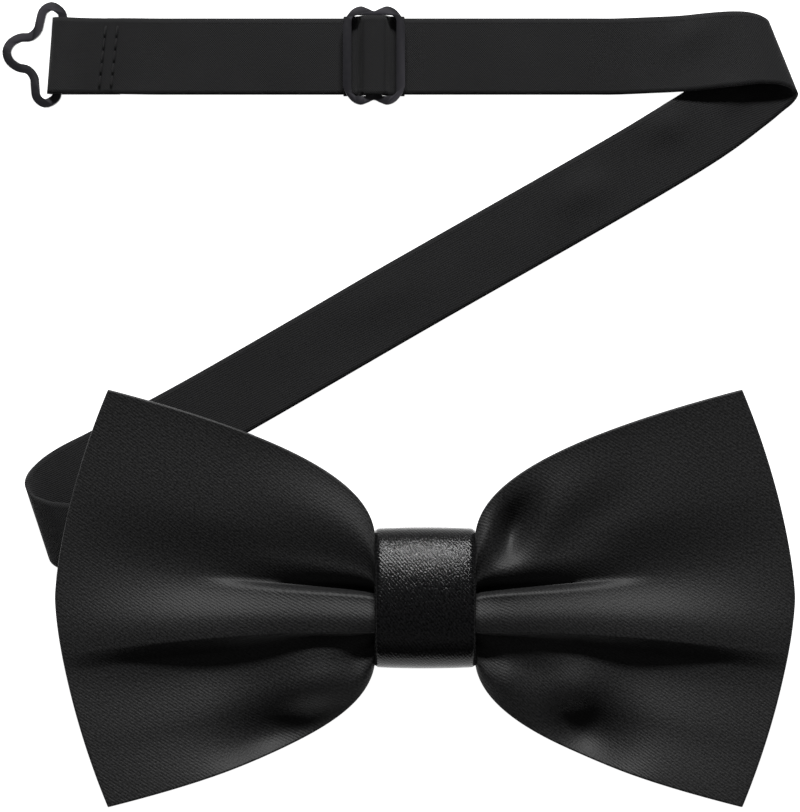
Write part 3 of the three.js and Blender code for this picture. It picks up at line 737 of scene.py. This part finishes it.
# ---------------------------------------------------------------------------
# Knot. A strip of satin folded in at both sides, wrapped round the waist over a
# woven lining and closed low on the back. A waxed cord inside it holds the pleats.
# ---------------------------------------------------------------------------
KNOT_CLOTH = 0.75
LINING_CLOTH = 0.3
CORD_BAND = 0.5
ROUND_STEPS = 144
KNOT_ACROSS = 41
BACK_SQUARE = 8.5
KNOT_LEAN = 0.36
ROLL_SINK = 0.55


def wrapped_strip(name, size, bottom, cloth, front_square, crown, roll):
    """A closed loop of cloth round the waist, with its back at the height bottom.

    front_square is how square its front is, 2 being an ellipse. The front leans back towards the top
    edge. crown is how far its sides lie below its middle, and roll is the radius they turn under with.
    """
    width, tall, deep = size
    rows, uvs = [], []
    around = 0.0
    last = None
    for step in range(ROUND_STEPS):
        turn = 2 * math.pi * step / ROUND_STEPS
        cos, sin = math.cos(turn), math.sin(turn)
        squareness = front_square if sin > 0 else BACK_SQUARE
        y = math.copysign(abs(cos) ** (2 / squareness), cos) * (tall - cloth) / 2
        z = math.copysign(abs(sin) ** (2 / squareness), sin) * (deep - cloth) / 2
        z *= 1 - KNOT_LEAN * 2 * y / tall if sin > 0 else 1
        here = Vector((0, y, z))
        around += (here - last).length if last else 0
        last = here
        x = np.linspace(-0.5, 0.5, KNOT_ACROSS)
        out = here.normalized()
        edge = np.clip((0.5 - np.abs(x)) * width / roll, 0, 1)
        sink = roll * ROLL_SINK * (1 - np.sqrt(1 - (1 - edge) ** 2)) + crown * (2 * x) ** 2
        rows.append(np.stack([x * width, y - out.y * sink, bottom + deep / 2 + z - out.z * sink], 1))
        uvs.append(np.stack([np.full(KNOT_ACROSS, around), x * width], 1))
    return grid_sheet(name, np.array(rows), np.array(uvs), cloth, closed=True)


knot_band = wrapped_strip("satin_knot_band", knot_high - knot_low, knot_low[2], KNOT_CLOTH,
                          front_square=2.45, crown=0.2, roll=0.5)
# Painted shade: the knot's satin takes half the bow satin's colour, for the darker look the knot has under
# this light.
knot_satin_painted_darker = satin_finish("black_knot_satin_painted_darker", lean=-40, base=(0.002, 0.002, 0.0022, 1),
                          bright=(0.01, 0.01, 0.0105, 1), gloss=0.17, rough=0.14, spread=0.06)
knot_band.data.materials.append(knot_satin_painted_darker.material)
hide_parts("knot_band")
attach(knot_band, "bow_and_strap")

lining_low, lining_high = box_of("knot_lining")
knot_lining = wrapped_strip("woven_knot_lining", lining_high - lining_low, lining_low[2], LINING_CLOTH,
                            front_square=2.7, crown=0, roll=0.3)
knot_lining.data.materials.append(canvas.material)
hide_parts("knot_lining")
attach(knot_lining, "bow_and_strap")

cord_low, cord_high = box_of("waist_cord")
waist_cord = wrapped_strip("waist_cord_turns", cord_high - cord_low, cord_low[2], CORD_BAND,
                           front_square=2.35, crown=0, roll=0.4)
waist_cord.data.materials.append(thread_finish.material)
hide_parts("waist_cord")
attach(waist_cord, "bow_and_strap")
